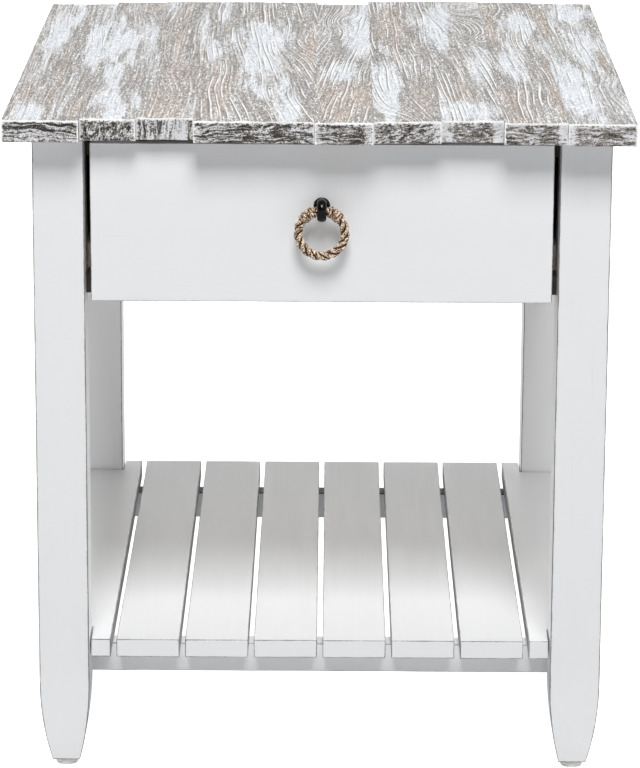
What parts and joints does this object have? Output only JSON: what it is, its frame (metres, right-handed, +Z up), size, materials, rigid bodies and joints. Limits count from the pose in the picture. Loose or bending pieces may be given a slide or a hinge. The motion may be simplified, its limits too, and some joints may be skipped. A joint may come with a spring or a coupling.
{
  "type": "side table with drawer",
  "caption": "Rectangular side table with a staggered-board top, square legs with tapered feet, a drawer on wooden runners with a rope ring pull, and a slatted lower shelf.",
  "frame": {"origin": "on the floor, midway across the width and the depth of the top", "axes": "+Z up, -Y towards the front that the drawer opens to, +X to the right as seen from the front"},
  "size_m": [0.56, 0.674, 0.617],
  "materials": {
    "top_wood": "whitewashed driftwood grain, matt",
    "white_paint": "white paint rubbed through at the edges, matt",
    "bare_wood": "planed, unfinished",
    "black_iron": "gloss black",
    "rope": "laid jute",
    "glide_plastic": "pale grey nylon",
    "screw_steel": "zinc plated"
  },
  "bodies": {
    "table": {"top_board_1": "top_wood", "top_board_2": "top_wood", "top_board_3": "top_wood", "top_board_4": "top_wood", "top_board_5": "top_wood", "top_board_6": "top_wood", "top_board_7": "top_wood", "top_board_8": "top_wood", "top_board_9": "top_wood", "leg_front_left": "white_paint", "leg_front_right": "white_paint", "leg_rear_left": "white_paint", "leg_rear_right": "white_paint", "foot_glides": "glide_plastic", "side_panel_left": "white_paint", "side_panel_right": "white_paint", "rear_panel": "white_paint", "front_top_rail": "bare_wood", "front_bottom_rail": "bare_wood", "drawer_runner_left": "bare_wood", "drawer_runner_right": "bare_wood", "drawer_kicker_left": "bare_wood", "drawer_kicker_right": "bare_wood", "top_batten_front": "bare_wood", "top_batten_middle": "bare_wood", "top_batten_rear": "bare_wood", "drawer_stop": "bare_wood", "drawer_closing_stops": "bare_wood", "shelf_slat_1": "white_paint", "shelf_slat_2": "white_paint", "shelf_slat_3": "white_paint", "shelf_slat_4": "white_paint", "shelf_slat_5": "white_paint", "shelf_slat_6": "white_paint", "shelf_slat_7": "white_paint", "shelf_slat_8": "white_paint", "shelf_rail_front": "white_paint", "shelf_rail_rear": "white_paint", "shelf_stretcher_left": "white_paint", "shelf_stretcher_right": "white_paint", "slat_screws": "screw_steel", "top_screws": "screw_steel"},
    "drawer": {"drawer_front": "white_paint", "drawer_inner_front": "bare_wood", "drawer_side_left": "bare_wood", "drawer_side_right": "bare_wood", "drawer_back": "bare_wood", "drawer_bottom": "bare_wood", "drawer_screws": "screw_steel", "eye_bolt": "black_iron", "eye_plate": "black_iron", "bolt_washer": "screw_steel", "bolt_nut": "screw_steel"},
    "pull_ring": {"rope_ring": "rope", "ring_whippings": "rope"}
  },
  "joints": [
    {"name": "drawer_slide", "type": "slide", "parent": "table", "child": "drawer", "axis": [0, -1, 0], "range_m": [0, 0.35]},
    {"name": "ring_swing", "type": "hinge", "parent": "drawer", "child": "pull_ring", "pos_m": [0.0026, -0.3195, 0.5345], "axis": [-1, 0, 0], "range_deg": [-11, 180]}
  ]
}
